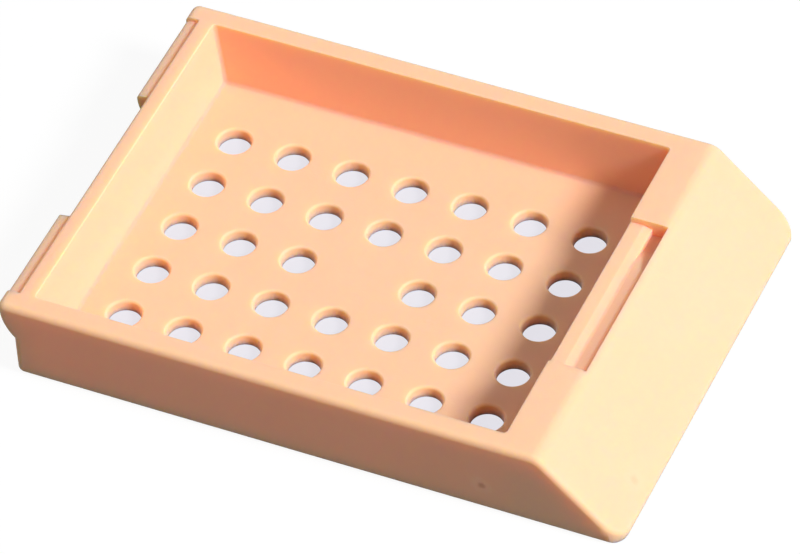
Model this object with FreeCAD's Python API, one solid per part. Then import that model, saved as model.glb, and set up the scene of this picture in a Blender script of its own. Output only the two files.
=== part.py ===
import FreeCAD, Part
import math
import os

# Base of a tissue cassette, moulded in one piece: a perforated tray with a writing slope at one
# end and two lid lugs at the other. It lies on the bench as it is used, tray up.
# Origin: middle of the footprint, on the bench. +X points to the slope, +Z up. Millimetres.

# Overall sizes
length = 40.75          # lug faces to the foot of the slope
width = 28.5
height = 5.6            # bench to rim

# Tray
floor_thickness = 0.8
side_rim = 1.4          # top of each long wall
end_rim = 1.1           # top of the wall between the lugs
side_draft = 0.1        # lean of the long walls' inner faces, over the tray's depth
end_draft = 0.5         # lean of the end wall's inner face
tray_corner = 0.25      # radius of the corners and of the foot of the walls inside
mouth_edge = 0.06       # radius round the tray's mouth

# Perforations
pitch = 4.03
hole_top = 2.36         # diameter at the tray's floor
hole_bottom = 2.1       # diameter underneath, smaller by the mould's draft
hole_margin = 1.6       # least floor between the outer holes and the walls
grid_shift = -0.35      # middle of the grid from the middle of the floor, along X

# Ledge and writing slope
ledge_width = 2.55      # flat top between the tray and the slope
slope_run = 5.25        # slope, measured along the bench
foot_land = 0.2         # upright face at the slope's foot, up to the rounding above it
foot_edge = 0.2         # radius of its lower edge
foot_corner = 1.4       # plan radius of the two corners there
crest_radius = 1.3      # soft bend between the ledge and the slope
end_corner = 0.5        # upright outer corners at the lugs' end
outer_edge = 0.4        # radius of the other outer edges
rim_edge = 0.2          # outer edge of the end wall's rim

# Catch recess in the ledge, where the lid's tongue goes
recess_length = 12.9
recess_width = 2.45
lip_width = 1.4         # wall left between the tray and the groove
lip_flat = 0.85         # its level part, beside the tray
lip_drop = 0.43         # its top below the rim
groove_depth = 0.62     # beside the lip
groove_rise = 0.38      # the groove's floor rises by this towards the slope
pocket_depth = 1.1      # deep end of the groove, at its +Y end
pocket_length = 1.4
pocket_ramp = 2.6       # run of the ramp that leads down to it
lip_bend = 0.4          # radius of the bends between lip and groove

# Hollow under the slope
hollow_wall = 0.9       # between the hollow and the tray
roof_skin = 0.7         # left under the pocket
slope_skin = 1.0        # square to the slope
hollow_side = 1.2       # at the two side faces
rib = 0.8
rib_clear = 1.15        # from the ends of the recess to the ribs
hollow_fillet = 0.3

# Lid lugs
lug_length = 8.65       # along the end wall
lug_reach = 0.85
lug_face = 0.6          # from the rim down to where the face curves in
lug_under = 2.15        # height of the curved underside
lug_drop = 0.25         # top below the rim, beside the end wall
lug_fall = 0.15         # it falls outwards by this much
lug_edge = 0.25         # radius of its outer edges
fin = 1.4               # full-height part at the outer end of each lug

# Places worked out from the sizes
half = width / 2
lug_x = -length / 2
end_x = lug_x + lug_reach
foot_x = length / 2
crest_x = foot_x - slope_run
ledge_x = crest_x - ledge_width
tray_low_x = end_x + end_rim + end_draft
tray_depth = height - floor_thickness
low_half = half - side_rim - side_draft
foot_z = foot_land + outer_edge / 2
grid_x = (tray_low_x + ledge_x) / 2 + grid_shift
slope_angle = math.atan2(height - foot_z, slope_run)
roof_z = height - pocket_depth - roof_skin
groove_x = ledge_x + lip_width
recess_x = ledge_x + recess_width
recess_half = recess_length / 2
over = 1.0              # how far cutters stand out past a face
near_zero = 1e-4


def vec(x, y, z):
    return FreeCAD.Vector(x, y, z)


def block(x, y, z):
    """Box between three pairs of limits."""
    return Part.makeBox(x[1] - x[0], y[1] - y[0], z[1] - z[0], vec(x[0], y[0], z[0]))


def lines(points):
    """Open run of straight edges through the points."""
    return [Part.LineSegment(a, b).toShape() for a, b in zip(points, points[1:])]


def prism_y(outline, y):
    """Solid with an X-Z outline, from y[0] to y[1]."""
    points = [vec(px, y[0], pz) for px, pz in outline]
    face = Part.Face(Part.Wire(lines(points + points[:1])))
    return face.extrude(vec(0, y[1] - y[0], 0))


def same(a, b):
    return abs(a - b) < near_zero


def round_edges(solid, radius, wanted):
    """Fillet every edge whose bounding box passes the test."""
    edges = [edge for edge in solid.Edges if wanted(edge.BoundBox)]
    return solid.makeFillet(radius, edges)


def upright(box, x):
    return same(box.XMin, x) and same(box.XMax, x) and same(box.YLength, 0) and box.ZLength > near_zero


def lug_bar(y, inner_top, outer_top):
    """Bar with the lug's section, from y[0] to y[1]: upright face and an underside that curves in."""
    start = vec(lug_x, y[0], height - lug_face)
    end = vec(end_x, y[0], start.z - lug_under)
    turn = 2 * math.atan2(lug_reach, lug_under)
    radius = lug_reach / (1 - math.cos(turn))
    middle = vec(lug_x + radius * (1 - math.cos(turn / 2)), y[0], start.z - radius * math.sin(turn / 2))
    top = [vec(end_x + over, y[0], end.z), vec(end_x + over, y[0], inner_top), vec(end_x, y[0], inner_top),
           vec(lug_x, y[0], outer_top), start]
    wire = Part.Wire(lines(top) + [Part.Arc(start, middle, end).toShape()] + lines([end, top[0]]))
    return Part.Face(wire).extrude(vec(0, y[1] - y[0], 0))


def lug(side):
    """Hook for the lid, with a part as high as the rim at its outer end."""
    inner_y = side * (half - lug_length)
    outer_top = height - lug_drop - lug_fall
    main = lug_bar((inner_y, side * half), height - lug_drop, outer_top)
    main = round_edges(main, lug_edge, lambda box: same(box.XMax, lug_x) and same(box.ZMin, outer_top))
    return main.fuse(lug_bar((side * (half - fin), side * half), height, height))


def outer_body():
    """Plan outline with its lugs, slope, soft crest and rounded outer edges."""
    body = block((end_x, foot_x), (-half, half), (0, height))
    body = body.fuse([lug(-1), lug(1)]).removeSplitter()

    def end_profile(box):
        on_side = same(abs(box.YMin), half) and same(box.YLength, 0)
        return on_side and box.XMax < end_x + near_zero and box.ZLength > near_zero

    body = round_edges(body, end_corner, end_profile)
    body = round_edges(body, outer_edge, lambda box: same(box.ZMax, 0) and box.XMin < foot_x - near_zero)
    foot_radius = min(foot_edge, foot_land)
    body = round_edges(body, foot_radius, lambda box: same(box.ZMax, 0) and same(box.XMin, foot_x))
    plan = block((lug_x, foot_x), (-half, half), (0, height))
    body = body.common(round_edges(plan, foot_corner, lambda box: upright(box, foot_x)))

    rise = height - foot_z
    above = [(crest_x, height), (foot_x, foot_z), (foot_x + over, foot_z - over * rise / slope_run)]
    above += [(foot_x + over, height + over), (crest_x, height + over)]
    body = body.cut(prism_y(above, (-half - over, half + over)))
    body = round_edges(body, crest_radius, lambda box: same(box.XMin, crest_x) and same(box.XMax, crest_x))

    def side_rims(box):
        return same(abs(box.YMin), half) and same(box.YLength, 0) and same(box.ZMin, height)

    body = round_edges(body, outer_edge, side_rims)

    def end_rim_line(box):
        return same(box.XMin, end_x) and same(box.XMax, end_x) and same(box.ZMin, height)

    return round_edges(body, rim_edge, end_rim_line)


def tray_cavity():
    """Drafted cavity, open at the top, with rounded corners and floor."""
    grow = (tray_depth + over) / tray_depth
    top_x = tray_low_x - end_draft * grow
    top_half = low_half + side_draft * grow
    cavity = Part.makeWedge(tray_low_x, 0, -low_half, -top_half, top_x,
                            ledge_x, tray_depth + over, low_half, top_half, ledge_x)
    cavity.rotate(vec(0, 0, 0), vec(1, 0, 0), 90)
    cavity.translate(vec(0, 0, floor_thickness))
    return round_edges(cavity, tray_corner, lambda box: box.ZMin < floor_thickness + near_zero)


def grid_places(middle, room):
    """Places of the holes along one direction, as many as fit in the room with their margin."""
    gaps = int((room - hole_top - 2 * hole_margin) / pitch)
    return [middle + (number - gaps / 2) * pitch for number in range(gaps + 1)]


def perforations():
    """Grid of drafted holes. One at the very middle is left out, where the mould is fed."""
    taper = (hole_top - hole_bottom) / 2 / floor_thickness
    low = hole_bottom / 2 - taper * over
    high = hole_top / 2 + taper * over
    holes = []
    for x in grid_places(grid_x, ledge_x - tray_low_x):
        for y in grid_places(0, 2 * low_half):
            if math.hypot(x - grid_x, y) > pitch / 2 - near_zero:
                holes.append(Part.makeCone(low, high, floor_thickness + 2 * over, vec(x, y, -over)))
    return holes


def catch_recess():
    """Lowered lip, the groove behind it and the pocket that the groove leads down to."""
    above = height + over
    lip_z = height - lip_drop
    groove_z = height - groove_depth
    shelf_z = groove_z + groove_rise
    outline = [(ledge_x - over / 2, above), (ledge_x - over / 2, lip_z), (ledge_x + lip_flat, lip_z),
               (groove_x, groove_z), (recess_x, shelf_z), (recess_x, above)]
    recess = prism_y(outline, (-recess_half, recess_half))

    def bend(box):
        along = same(box.YLength, recess_length)
        return along and (same(box.XMin, ledge_x + lip_flat) or same(box.XMin, groove_x))

    recess = round_edges(recess, lip_bend, bend)
    pocket_y = recess_half - pocket_length
    pocket_z = height - pocket_depth
    ramp_y = pocket_y - pocket_ramp
    ramp = [(recess_half, above), (recess_half, pocket_z), (pocket_y, pocket_z)]
    ramp += [(ramp_y, shelf_z), (ramp_y, above)]
    points = [vec(groove_x, py, pz) for py, pz in ramp]
    pocket = Part.Face(Part.Wire(lines(points + points[:1]))).extrude(vec(recess_x - groove_x, 0, 0))
    return recess.fuse(pocket)


def hollow_bays():
    """Three bays under the ledge and slope, open underneath, parted by two ribs."""
    inner_x = ledge_x + hollow_wall
    skin_x = slope_skin / math.sin(slope_angle)

    def slope_x(z):
        return foot_x - skin_x - (z - foot_z) / math.tan(slope_angle)

    def roof_edge(box):
        return same(box.ZMin, roof_z) and same(box.XLength, 0)

    outline = [(inner_x, 0), (inner_x, roof_z), (slope_x(roof_z), roof_z), (slope_x(0), 0)]
    rib_y = recess_half + rib_clear
    limit = half - hollow_side
    bays = []
    for low, high in ((-limit, -rib_y - rib), (-rib_y, rib_y), (rib_y + rib, limit)):
        bay = prism_y(outline, (low, high))
        bays.append(round_edges(bay, hollow_fillet, roof_edge))
    return bays


def cassette_base():
    body = outer_body().cut(tray_cavity())

    def mouth(box):
        inside = box.YMax < half - outer_edge - near_zero and box.YMin > -half + outer_edge + near_zero
        behind = box.XMax < ledge_x + near_zero and box.XMin > end_x + near_zero
        return same(box.ZMin, height) and same(box.ZMax, height) and inside and behind

    body = round_edges(body, mouth_edge, mouth)
    body = body.cut(hollow_bays())
    body = body.cut(catch_recess())
    return body.cut(perforations())


os.makedirs("parts", exist_ok=True)
base = cassette_base()
base.exportStep("parts/cassette_base.step")
print("cassette_base", base.isValid(), len(base.Solids), round(base.Volume, 2), base.BoundBox)
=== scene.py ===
import math
import bmesh
import bpy
from mathutils import Matrix, Vector


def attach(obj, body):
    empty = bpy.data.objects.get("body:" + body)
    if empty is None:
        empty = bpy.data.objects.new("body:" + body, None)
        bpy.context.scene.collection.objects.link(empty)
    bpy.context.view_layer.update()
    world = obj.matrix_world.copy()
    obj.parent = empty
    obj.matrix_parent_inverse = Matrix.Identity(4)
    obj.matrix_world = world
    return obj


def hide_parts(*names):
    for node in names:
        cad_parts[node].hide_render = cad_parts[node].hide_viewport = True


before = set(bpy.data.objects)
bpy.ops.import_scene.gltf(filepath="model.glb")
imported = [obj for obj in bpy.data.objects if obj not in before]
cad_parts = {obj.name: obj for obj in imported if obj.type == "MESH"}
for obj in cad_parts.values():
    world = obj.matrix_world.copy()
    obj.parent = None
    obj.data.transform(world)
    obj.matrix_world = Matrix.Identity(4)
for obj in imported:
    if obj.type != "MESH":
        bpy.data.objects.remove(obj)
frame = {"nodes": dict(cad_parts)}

scene = bpy.context.scene
mm = 0.001                             # Blender's unit is the metre
white = (1, 1, 1, 1)
noiseMean = 0.5                        # what a noise texture gives on average
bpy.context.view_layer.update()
print("construction model loaded:", ", ".join(frame["nodes"]))


# Small helpers for node trees
def addNode(tree, kind, values=(), **settings):
    node = tree.nodes.new(kind)
    for name, value in settings.items():
        setattr(node, name, value)
    for socket, value in dict(values).items():
        if isinstance(value, bpy.types.NodeSocket):
            tree.links.new(value, node.inputs[socket])
        else:
            node.inputs[socket].default_value = value
    return node


def maths(tree, operation, *values, clamp=False):
    return addNode(tree, "ShaderNodeMath", dict(enumerate(values)), operation=operation,
                   use_clamp=clamp).outputs[0]


def remap(tree, value, low, high, start=0.0, end=1.0, kind="LINEAR"):
    values = {"Value": value, "From Min": low, "From Max": high, "To Min": start, "To Max": end}
    return addNode(tree, "ShaderNodeMapRange", values, interpolation_type=kind).outputs["Result"]


def blend(tree, share, first, second):
    return addNode(tree, "ShaderNodeMix", {0: share, 6: first, 7: second}, data_type="RGBA").outputs[2]


def blendShaders(tree, share, first, second):
    return addNode(tree, "ShaderNodeMixShader", {0: share, 1: first, 2: second}).outputs[0]


def noise(tree, vector, size, detail, offset=0.0, roughness=0.55):
    spread = addNode(tree, "ShaderNodeVectorMath", {0: vector, 1: (offset,) * 3}, operation="ADD")
    values = {"Vector": spread.outputs[0], "Scale": maths(tree, "DIVIDE", 1.0, size),
              "Detail": detail, "Roughness": roughness}
    return addNode(tree, "ShaderNodeTexNoise", values).outputs[0]


def newGroup(name, inputs, outputs):
    group = bpy.data.node_groups.new(name, "ShaderNodeTree")
    for label, kind in inputs:
        group.interface.new_socket(label, in_out="INPUT", socket_type="NodeSocket" + kind)
    for label in outputs:
        group.interface.new_socket(label, in_out="OUTPUT", socket_type="NodeSocketFloat")
    return group, addNode(group, "NodeGroupInput"), addNode(group, "NodeGroupOutput")


# 1 for what the camera sees directly, in a reflection or through glass
def seenRays(tree):
    path = addNode(tree, "ShaderNodeLightPath").outputs
    either = maths(tree, "MAXIMUM", path["Is Camera Ray"], path["Is Glossy Ray"])
    return maths(tree, "MAXIMUM", either, path["Is Transmission Ray"])


# Camera and lamps stand around the object: azimuth in degrees from +X, elevation from the bench
cameraSet = {
    "aim": (0.3 * mm, -0.86 * mm, 2.8 * mm),
    "azimuth": -63.35,
    "elevation": 45.5,
    "distance": 403.5 * mm,
    "roll": -3.96,
    "lens": 297.8,                     # millimetres, as the sensor
    "sensor": 36,
    "clip": (0.01, 10),                # metres
}
lampSet = {                            # distance and size in metres
    "key": {"azimuth": -4, "elevation": 41.5, "distance": 1.2, "size": 0.33, "watts": 19.8},
    "fill": {"azimuth": 180, "elevation": 50, "distance": 1.2, "size": 0.87, "watts": 2.1},
}
worldStrength = 0.21                   # of the light on the object; to the camera the world is white


def direction(opts):
    azimuth, elevation = math.radians(opts["azimuth"]), math.radians(opts["elevation"])
    level = math.cos(elevation)
    return Vector((math.cos(azimuth) * level, math.sin(azimuth) * level, math.sin(elevation)))


def makeCamera(opts):
    camera = bpy.data.cameras.new("productCamera")
    camera.lens = opts["lens"]
    camera.sensor_width = opts["sensor"]
    camera.clip_start, camera.clip_end = opts["clip"]
    holder = bpy.data.objects.new("productCamera", camera)
    back = direction(opts)
    place = Matrix.Translation(Vector(opts["aim"]) + back * opts["distance"])
    turn = (-back).to_track_quat("-Z", "Y").to_matrix().to_4x4()
    holder.matrix_world = place @ turn @ Matrix.Rotation(math.radians(opts["roll"]), 4, "Z")
    scene.collection.objects.link(holder)
    scene.camera = holder


def makeLamp(name, opts):
    lamp = bpy.data.lights.new(name, "AREA")
    lamp.shape = "DISK"
    lamp.size = opts["size"]
    lamp.energy = opts["watts"]
    holder = bpy.data.objects.new(name, lamp)
    toward = direction(opts)
    turn = toward.to_track_quat("Z", "Y").to_matrix().to_4x4()
    holder.matrix_world = Matrix.Translation(toward * opts["distance"]) @ turn
    scene.collection.objects.link(holder)


def makeWorld(strength):
    world = bpy.data.worlds.new("studio")
    world.use_nodes = True
    tree = world.node_tree
    background = tree.nodes["Background"]
    background.inputs["Color"].default_value = white
    level = maths(tree, "MULTIPLY_ADD", seenRays(tree), 1 - strength, strength)
    tree.links.new(level, background.inputs["Strength"])
    scene.world = world


makeCamera(cameraSet)
for name, opts in lampSet.items():
    makeLamp(name + "Lamp", opts)
makeWorld(worldStrength)
scene.view_settings.view_transform = "Standard"
print("camera and", len(lampSet), "lamps placed")

# Moulded surface: fine satin grain, slow changes of tone and of gloss
grainSet = {
    "coarse": {"detail": 2.0, "offset": 0.31},     # the offsets keep the patterns apart
    "fine": {"detail": 3.0, "offset": 0.0},
    "tone": {"detail": 3.0, "offset": 0.17},
    "gloss": {"detail": 4.0, "offset": 0.53},
    "coarseSize": 5.0,                 # against the fine grain
    "coarseHeight": 0.6,
    "glossSize": 0.4,                  # against the clouds of tone
}


def mouldedGrain(opts):
    inputs = [("Vector", "Vector"), ("Grain Size", "Float"), ("Cloud Size", "Float")]
    group, given, result = newGroup("mouldedGrain", inputs, ("Height", "Tone", "Gloss"))
    vector, grain, cloud = (given.outputs[n] for n in ("Vector", "Grain Size", "Cloud Size"))
    coarse = noise(group, vector, maths(group, "MULTIPLY", grain, opts["coarseSize"]), **opts["coarse"])
    fine = noise(group, vector, grain, **opts["fine"])
    height = maths(group, "MULTIPLY_ADD", coarse, opts["coarseHeight"], fine)
    tone = noise(group, vector, cloud, **opts["tone"])
    gloss = noise(group, vector, maths(group, "MULTIPLY", cloud, opts["glossSize"]), **opts["gloss"])
    for label, value in (("Height", height), ("Tone", tone), ("Gloss", gloss)):
        group.links.new(value, result.inputs[label])
    return group


# Small flaw: a spot with a paler ring around it
flawSet = {
    "least": 0.6,                      # narrowest outline, as a share of the radius
    "wander": 0.8,                     # how much further the outline may wander
    "detail": 1.0,
    "spot": (1.0, 0.1),                # where it starts and where it is full, in radii
    "ring": (2.3, 1.3),
}


def mouldFlaw(opts):
    inputs = [("Vector", "Vector"), ("Place", "Vector"), ("Radius", "Float")]
    group, given, result = newGroup("mouldFlaw", inputs, ("Spot", "Ring"))
    vector, place, radius = (given.outputs[n] for n in ("Vector", "Place", "Radius"))
    away = addNode(group, "ShaderNodeVectorMath", {0: vector, 1: place}, operation="DISTANCE")
    waves = noise(group, vector, radius, opts["detail"])
    uneven = maths(group, "MULTIPLY_ADD", waves, opts["wander"], opts["least"])
    share = maths(group, "DIVIDE", away.outputs["Value"], maths(group, "MULTIPLY", radius, uneven))
    spot = remap(group, share, *opts["spot"], kind="SMOOTHSTEP")
    outer = remap(group, share, *opts["ring"], kind="SMOOTHSTEP")
    group.links.new(spot, result.inputs["Spot"])
    group.links.new(maths(group, "SUBTRACT", outer, spot, clamp=True), result.inputs["Ring"])
    return group


# Satin acetal of the moulded base: light goes a little way in, red furthest
acetalSet = {
    "color": (0.985, 0.535, 0.352, 1),
    "deeper": (0.97, 0.49, 0.28, 1),   # the slow clouds lean towards this tone
    "paler": (1.0, 0.70, 0.52, 1),     # stressed ring round a flaw
    "speck": (0.50, 0.20, 0.11, 1),
    "cloud": 0.16,                     # share of the deeper tone on average
    "cloudSize": 9 * mm,
    "grainSize": 0.16 * mm,
    "grainHeight": 0.012 * mm,
    "grainStrength": 0.6,
    "roughness": (0.42, 0.54),         # glossier and duller patches
    "glossSpan": (0.3, 0.7),           # noise at the lower and at the higher roughness
    "specular": 0.15,
    "subsurface": 1.0,
    "radius": (1.3, 1.15, 0.35),       # in units of the scale
    "scale": 1.0 * mm,
    "ringShare": 0.4,                  # how strong a flaw's ring is against its spot
    "flaws": [                         # place, radius, how dark
        ((11.455 * mm, -14.25 * mm, 2.01 * mm), 0.36 * mm, 0.5),
        ((19.46 * mm, -9.96 * mm, 1.31 * mm), 0.42 * mm, 0.15),
    ],
}


def peachAcetal(opts):
    material = bpy.data.materials.new("peachAcetal")
    material.use_nodes = True
    tree = material.node_tree
    shader = tree.nodes["Principled BSDF"]
    place = addNode(tree, "ShaderNodeTexCoord").outputs["Object"]
    sizes = {"Vector": place, "Grain Size": opts["grainSize"], "Cloud Size": opts["cloudSize"]}
    grain = addNode(tree, "ShaderNodeGroup", sizes, node_tree=mouldedGrain(grainSet)).outputs

    cloud = maths(tree, "MULTIPLY", grain["Tone"], opts["cloud"] / noiseMean, clamp=True)
    color = blend(tree, cloud, opts["color"], opts["deeper"])
    flaw = mouldFlaw(flawSet)
    for spotPlace, radius, dark in opts["flaws"]:
        spot = {"Vector": place, "Place": spotPlace, "Radius": radius}
        mark = addNode(tree, "ShaderNodeGroup", spot, node_tree=flaw).outputs
        ring = maths(tree, "MULTIPLY", mark["Ring"], opts["ringShare"] * dark)
        color = blend(tree, ring, color, opts["paler"])
        color = blend(tree, maths(tree, "MULTIPLY", mark["Spot"], dark), color, opts["speck"])
    tree.links.new(color, shader.inputs["Base Color"])

    rough = remap(tree, grain["Gloss"], *opts["glossSpan"], *opts["roughness"])
    tree.links.new(rough, shader.inputs["Roughness"])
    relief = {"Height": grain["Height"], "Strength": opts["grainStrength"],
              "Distance": opts["grainHeight"]}
    bump = addNode(tree, "ShaderNodeBump", relief).outputs[0]
    tree.links.new(bump, shader.inputs["Normal"])
    shader.inputs["Specular IOR Level"].default_value = opts["specular"]
    shader.inputs["Subsurface Weight"].default_value = opts["subsurface"]
    shader.inputs["Subsurface Radius"].default_value = opts["radius"]
    shader.inputs["Subsurface Scale"].default_value = opts["scale"]
    return material


acetal = peachAcetal(acetalSet)
print("acetal mixed")

# Perforated floor: a grid of holes that narrow downwards, each with a softly rounded upper rim
holeSet = {
    "pitch": 4.03 * mm,
    "columns": 7,
    "rows": 5,
    "middle": (-3.025 * mm, 0, 0),     # a hole that falls there is left out, where the mould is fed
    "floor": 0.8 * mm,
    "bottomDiameter": 2.1 * mm,
    "topDiameter": 2.16 * mm,          # under the rounding
    "rimRadius": 0.18 * mm,
    "lift": 0.004 * mm,                # keeps the end of the rounding off the floor's plane
    "overshoot": 0.5 * mm,             # how far the cutters stand out of the floor
    "points": 48,                      # round each hole
    "arcSteps": 5,
    "sharpAngle": 32,                  # degrees; edges that turn more are kept crisp
    "modelHole": 2.36 * mm,            # widest part of the construction model's own holes
    "modelMargin": 0.02 * mm,          # allowed on its radius
    "upright": 0.5,                    # the normal of a hole's wall rises less than this
    "weld": 0.0005 * mm,
    "flatAngle": 0.05,                 # degrees; faces that turn less than this become one
}


# The construction model with its holes closed, so that they can be cut again with their soft rims
def closedBlank(source, opts):
    shape = bmesh.new()
    shape.from_mesh(source.data)
    bmesh.ops.remove_doubles(shape, verts=shape.verts, dist=opts["weld"])
    limit = opts["modelHole"] / 2 + opts["modelMargin"]
    middle = Vector(opts["middle"])

    def isHoleWall(face):
        away = (face.calc_center_median() - middle) / opts["pitch"]
        column, row = round(away.x), round(away.y)
        if abs(column) > opts["columns"] // 2 or abs(row) > opts["rows"] // 2:
            return False
        hole = middle + Vector((column, row, 0)) * opts["pitch"]
        narrow = all((vert.co - hole).xy.length < limit for vert in face.verts)
        return narrow and abs(face.normal.z) <= opts["upright"]

    walls = [face for face in shape.faces if isHoleWall(face)]
    bmesh.ops.delete(shape, geom=walls, context="FACES")
    rims = [edge for edge in shape.edges if edge.is_boundary]
    filled = bmesh.ops.holes_fill(shape, edges=rims, sides=0)["faces"]
    bmesh.ops.dissolve_limit(shape, angle_limit=math.radians(opts["flatAngle"]), verts=shape.verts,
                             edges=shape.edges)
    bmesh.ops.recalc_face_normals(shape, faces=shape.faces)
    loose = sum(not edge.is_manifold for edge in shape.edges)
    print("blank:", len(filled), "openings closed,", len(shape.faces), "faces,", loose, "open edges")
    mesh = bpy.data.meshes.new("blank")
    shape.to_mesh(mesh)
    shape.free()
    return mesh


def perforateTree():
    tree = bpy.data.node_groups.new("perforate", "GeometryNodeTree")
    sockets = {
        "Geometry": ("Geometry",),
        "Vector": ("Middle",),
        "Int": ("Columns", "Rows", "Points", "Arc Steps"),
        "Float": ("Pitch", "Floor", "Bottom Diameter", "Top Diameter", "Rim Radius", "Lift",
                  "Overshoot", "Sharp Angle"),
        "Material": ("Material",),
    }
    for kind, labels in sockets.items():
        for label in labels:
            tree.interface.new_socket(label, in_out="INPUT", socket_type="NodeSocket" + kind)
    tree.interface.new_socket("Geometry", in_out="OUTPUT", socket_type="NodeSocketGeometry")
    given = addNode(tree, "NodeGroupInput").outputs
    result = addNode(tree, "NodeGroupOutput")

    # one cutter: a unit cylinder whose rings become the wall, the rounding and the part above it
    rings = maths(tree, "ADD", given["Arc Steps"], 2)
    unit = {"Vertices": given["Points"], "Side Segments": rings, "Radius": 1.0, "Depth": 1.0}
    blank = addNode(tree, "GeometryNodeMeshCylinder", unit, fill_type="NGON").outputs["Mesh"]
    position = addNode(tree, "GeometryNodeInputPosition").outputs[0]
    axes = addNode(tree, "ShaderNodeSeparateXYZ", {0: position}).outputs
    along = maths(tree, "ADD", axes["Z"], 0.5)     # 0 at the cutter's foot, 1 at its head
    first = maths(tree, "DIVIDE", 1, rings)        # top of the wall; the rounding ends at last
    last = maths(tree, "SUBTRACT", 1, first)
    turn = remap(tree, along, first, last, 0, math.pi / 2)
    below = maths(tree, "MULTIPLY", given["Overshoot"], -1)
    raised = maths(tree, "ADD", given["Floor"], given["Lift"])
    wallTop = maths(tree, "SUBTRACT", raised, given["Rim Radius"])
    wall = remap(tree, along, 0, first, below, wallTop)
    above = remap(tree, along, last, 1, 0, given["Overshoot"])
    height = maths(tree, "ADD", wall, above)
    height = maths(tree, "MULTIPLY_ADD", maths(tree, "SINE", turn), given["Rim Radius"], height)
    slant = maths(tree, "SUBTRACT", given["Top Diameter"], given["Bottom Diameter"])
    slant = maths(tree, "DIVIDE", slant, wallTop)
    width = maths(tree, "MULTIPLY_ADD", wall, slant, given["Bottom Diameter"])
    flare = maths(tree, "SUBTRACT", 1, maths(tree, "COSINE", turn))
    wallRadius = maths(tree, "MULTIPLY", width, 0.5)
    radius = maths(tree, "MULTIPLY_ADD", flare, given["Rim Radius"], wallRadius)
    sides = {axis: maths(tree, "MULTIPLY", axes[axis], radius) for axis in "XY"}
    placed = addNode(tree, "ShaderNodeCombineXYZ", {**sides, "Z": height}).outputs[0]
    moved = {"Geometry": blank, "Position": placed}
    cutter = addNode(tree, "GeometryNodeSetPosition", moved).outputs[0]

    # the grid, less the place at its middle
    def across(count):
        return maths(tree, "MULTIPLY", maths(tree, "SUBTRACT", given[count], 1), given["Pitch"])

    places = {"Size X": across("Columns"), "Size Y": across("Rows"), "Vertices X": given["Columns"],
              "Vertices Y": given["Rows"]}
    grid = addNode(tree, "GeometryNodeMeshGrid", places).outputs["Mesh"]
    away = addNode(tree, "ShaderNodeVectorMath", {0: position}, operation="LENGTH").outputs["Value"]
    fed = maths(tree, "LESS_THAN", away, maths(tree, "MULTIPLY", given["Pitch"], 0.5))
    grid = addNode(tree, "GeometryNodeDeleteGeometry", {"Geometry": grid, "Selection": fed}).outputs[0]
    moved = {"Geometry": grid, "Translation": given["Middle"]}
    grid = addNode(tree, "GeometryNodeTransform", moved).outputs[0]
    copies = {"Points": grid, "Instance": cutter}
    holes = addNode(tree, "GeometryNodeInstanceOnPoints", copies).outputs[0]
    holes = addNode(tree, "GeometryNodeRealizeInstances", {0: holes}).outputs[0]
    cut = addNode(tree, "GeometryNodeMeshBoolean", {0: given["Geometry"], 1: holes},
                  operation="DIFFERENCE", solver="EXACT").outputs["Mesh"]

    # smooth shading, crisp where the surface turns sharply
    soft = {"Geometry": cut, "Shade Smooth": True}
    smooth = addNode(tree, "GeometryNodeSetShadeSmooth", soft).outputs[0]
    bend = addNode(tree, "GeometryNodeInputMeshEdgeAngle").outputs["Unsigned Angle"]
    crisp = maths(tree, "GREATER_THAN", bend, given["Sharp Angle"])
    sharp = {"Geometry": smooth, "Selection": crisp, "Shade Smooth": False}
    smooth = addNode(tree, "GeometryNodeSetShadeSmooth", sharp, domain="EDGE").outputs[0]
    whole = addNode(tree, "GeometryNodeRealizeInstances", {0: smooth}).outputs[0]
    finished = {"Geometry": whole, "Material": given["Material"]}
    whole = addNode(tree, "GeometryNodeSetMaterial", finished).outputs[0]
    tree.links.new(whole, result.inputs[0])
    return tree


def useTree(piece, tree, values):
    step = piece.modifiers.new(tree.name, "NODES")
    step.node_group = tree
    for item in tree.interface.items_tree:
        if item.in_out == "INPUT" and item.name in values:
            step[item.identifier] = values[item.name]


def mouldedBase(opts, material):
    blank = closedBlank(frame["nodes"]["cassette_base"], opts)
    piece = bpy.data.objects.new("mouldedBase", blank)
    scene.collection.objects.link(piece)
    values = {
        "Pitch": opts["pitch"], "Columns": opts["columns"], "Rows": opts["rows"],
        "Middle": opts["middle"], "Floor": opts["floor"], "Bottom Diameter": opts["bottomDiameter"],
        "Top Diameter": opts["topDiameter"], "Rim Radius": opts["rimRadius"], "Lift": opts["lift"],
        "Overshoot": opts["overshoot"], "Points": opts["points"], "Arc Steps": opts["arcSteps"],
        "Sharp Angle": math.radians(opts["sharpAngle"]), "Material": material,
    }
    useTree(piece, perforateTree(), values)
    even = piece.modifiers.new("evenShading", "WEIGHTED_NORMAL")
    even.keep_sharp = True
    made = bpy.data.meshes.new_from_object(piece.evaluated_get(bpy.context.evaluated_depsgraph_get()))
    piece.modifiers.clear()
    piece.data = made
    made.name = "mouldedBase"
    return piece


base = mouldedBase(holeSet, acetal)
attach(base, "root")
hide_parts("cassette_base")
print("moulded base perforated:", len(base.data.polygons), "faces")

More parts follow.
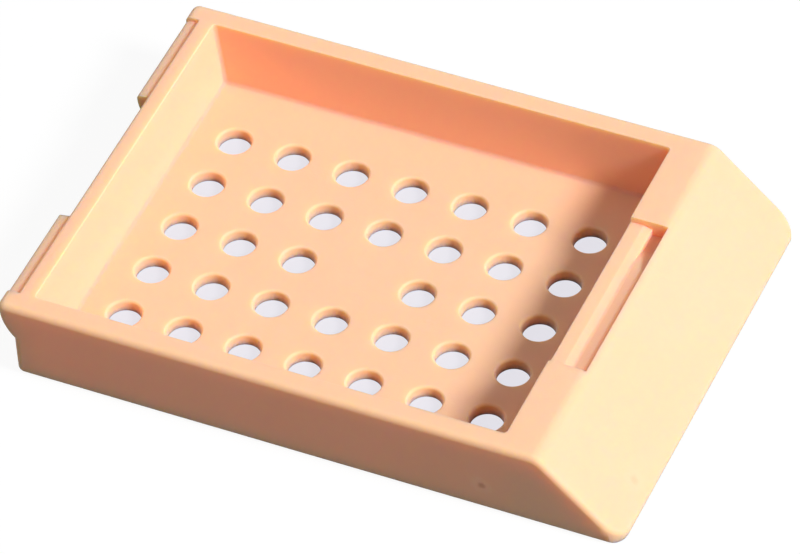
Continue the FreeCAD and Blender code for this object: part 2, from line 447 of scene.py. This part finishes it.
# Bench: plain and pale, white to the camera apart from the object's soft shadow and a painted shadow
# under the object
benchSet = {
    "half": 2.0,                       # metres from its middle to a side
    "gap": 0.02 * mm,                  # keeps it off the object's own underside
    "bounce": (0.16, 0.16, 0.16, 1),   # what the underside and the sides get back
    "roughness": 0.9,
    "lit": (0.9, 0.9, 0.9, 1),         # the part that takes the shadow
    "shadowShare": 0.07,               # how much of that part shows
    "underneath": (0.80, 0.79, 0.85, 1),   # painted shadow under the object, seen through the holes
    "footprint": (19.9 * mm, 13.7 * mm),   # half sizes of the painted shadow patch
    "soft": 0.8 * mm,                  # width of its faded edge
}


def paleBench(opts):
    material = bpy.data.materials.new("paleBench")
    material.use_nodes = True
    tree = material.node_tree
    plain = tree.nodes["Principled BSDF"]
    plain.inputs["Base Color"].default_value = opts["bounce"]
    plain.inputs["Roughness"].default_value = opts["roughness"]
    place = addNode(tree, "ShaderNodeTexCoord").outputs["Object"]
    axes = addNode(tree, "ShaderNodeSeparateXYZ", {0: place}).outputs
    # painted shadow: a cooler grey under the object, fading out towards the patch's edges
    paintedShadowMask = 1.0
    for axis, half in zip("XY", opts["footprint"]):
        inside = remap(tree, maths(tree, "ABSOLUTE", axes[axis]), half, half - opts["soft"])
        paintedShadowMask = maths(tree, "MULTIPLY", paintedShadowMask, inside)
    whiteWithPaintedShadow = blend(tree, paintedShadowMask, white, opts["underneath"])
    lit = addNode(tree, "ShaderNodeBsdfDiffuse", {"Color": opts["lit"]}).outputs[0]
    bright = addNode(tree, "ShaderNodeEmission", {"Color": whiteWithPaintedShadow}).outputs[0]
    seen = blendShaders(tree, opts["shadowShare"], bright, lit)
    top = blendShaders(tree, seenRays(tree), plain.outputs[0], seen)
    under = addNode(tree, "ShaderNodeNewGeometry").outputs["Backfacing"]
    clear = addNode(tree, "ShaderNodeBsdfTransparent").outputs[0]      # so the underside can be seen
    surface = tree.nodes["Material Output"].inputs["Surface"]
    tree.links.new(blendShaders(tree, under, top, clear), surface)
    return material


def makeBench(opts):
    half, level = opts["half"], -opts["gap"]
    corners = [(x * half, y * half, level) for x, y in ((-1, -1), (1, -1), (1, 1), (-1, 1))]
    mesh = bpy.data.meshes.new("bench")
    mesh.from_pydata(corners, [], [(0, 1, 2, 3)])
    mesh.materials.append(paleBench(opts))
    bench = bpy.data.objects.new("bench", mesh)
    scene.collection.objects.link(bench)


makeBench(benchSet)
print("bench laid")
